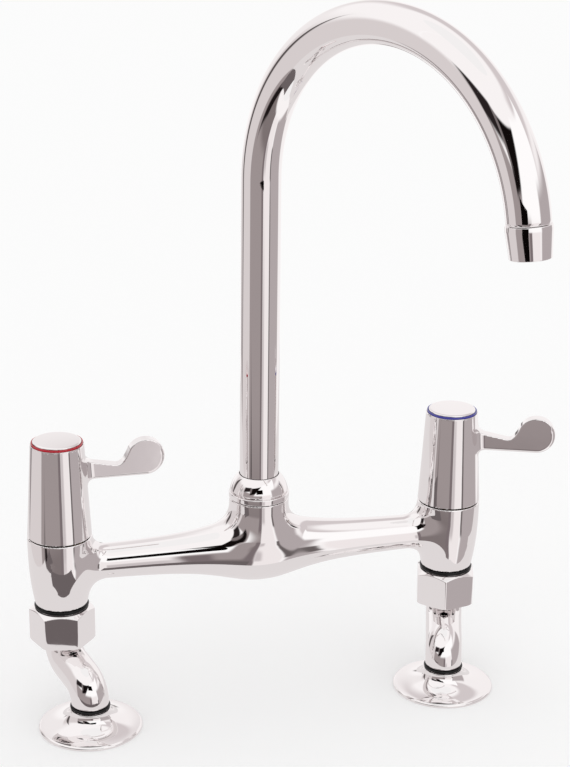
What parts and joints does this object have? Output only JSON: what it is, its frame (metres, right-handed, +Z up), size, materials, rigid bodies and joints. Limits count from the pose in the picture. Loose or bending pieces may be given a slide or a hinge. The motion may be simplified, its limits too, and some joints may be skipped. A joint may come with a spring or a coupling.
{
  "type": "bridge kitchen faucet",
  "caption": "Chrome bridge mixer for a kitchen sink, with hot and cold quarter-turn lever handles, cranked legs on trumpet flanges, and a tall swan-neck spout that swivels on the bridge.",
  "frame": {"origin": "on the spout's swivel axis, at the height of the top of the deck", "axes": "+Z up, along the swivel axis; +X along the bridge towards the cold valve; +Y away from the user"},
  "size_m": [0.262, 0.1706, 0.4043],
  "materials": {
    "polished_chrome": "mirror-polished chrome plate on brass",
    "machined_brass": "machined, uncoated",
    "stainless_steel": "turned stainless steel",
    "ground_ceramic": null,
    "black_rubber": "smooth moulded rubber",
    "white_nylon": "moulded nylon",
    "red_plastic": "glossy moulded plastic",
    "blue_plastic": "glossy moulded plastic"
  },
  "bodies": {
    "faucet_body": {"bridge_casting": "polished_chrome", "spout_collar": "polished_chrome", "hot_headwork_body": "machined_brass", "hot_headwork_o_ring": "black_rubber", "hot_fixed_disc": "ground_ceramic", "hot_seat_seal": "black_rubber", "hot_union_washer": "black_rubber", "hot_union_ring": "black_rubber", "hot_union_nut": "polished_chrome", "hot_crank_leg": "polished_chrome", "hot_foot_ring": "black_rubber", "hot_flange": "polished_chrome", "hot_deck_seal": "black_rubber", "hot_threaded_tail": "machined_brass", "hot_under_deck_washer": "black_rubber", "hot_slip_washer": "stainless_steel", "hot_backnut": "machined_brass", "cold_headwork_body": "machined_brass", "cold_headwork_o_ring": "black_rubber", "cold_fixed_disc": "ground_ceramic", "cold_seat_seal": "black_rubber", "cold_union_washer": "black_rubber", "cold_union_ring": "black_rubber", "cold_union_nut": "polished_chrome", "cold_crank_leg": "polished_chrome", "cold_foot_ring": "black_rubber", "cold_flange": "polished_chrome", "cold_deck_seal": "black_rubber", "cold_threaded_tail": "machined_brass", "cold_under_deck_washer": "black_rubber", "cold_slip_washer": "stainless_steel", "cold_backnut": "machined_brass"},
    "spout": {"spout_tube": "polished_chrome", "spout_ferrule": "machined_brass", "spout_o_ring_lower": "black_rubber", "spout_o_ring_upper": "black_rubber", "spout_bush": "white_nylon", "aerator_housing": "polished_chrome", "aerator_washer": "black_rubber", "aerator_insert": "white_nylon"},
    "hot_lever": {"hot_moving_disc": "ground_ceramic", "hot_spindle": "machined_brass", "hot_spindle_o_ring": "black_rubber", "hot_circlip": "stainless_steel", "hot_lever_handle": "polished_chrome", "hot_handle_screw": "stainless_steel", "hot_index_ring": "red_plastic", "hot_index_cap": "polished_chrome"},
    "cold_lever": {"cold_moving_disc": "ground_ceramic", "cold_spindle": "machined_brass", "cold_spindle_o_ring": "black_rubber", "cold_circlip": "stainless_steel", "cold_lever_handle": "polished_chrome", "cold_handle_screw": "stainless_steel", "cold_index_ring": "blue_plastic", "cold_index_cap": "polished_chrome"}
  },
  "joints": [
    {"name": "spout_swivel", "type": "hinge", "parent": "faucet_body", "child": "spout", "pos_m": [0, 0, 0.1], "axis": [0, 0, 1], "continuous": true},
    {"name": "hot_lever_turn", "type": "hinge", "parent": "faucet_body", "child": "hot_lever", "pos_m": [-0.0988, 0, 0.09], "axis": [0, 0, 1], "range_deg": [-90, 0]},
    {"name": "cold_lever_turn", "type": "hinge", "parent": "faucet_body", "child": "cold_lever", "pos_m": [0.0988, 0, 0.09], "axis": [0, 0, 1], "range_deg": [-68, 22]}
  ]
}
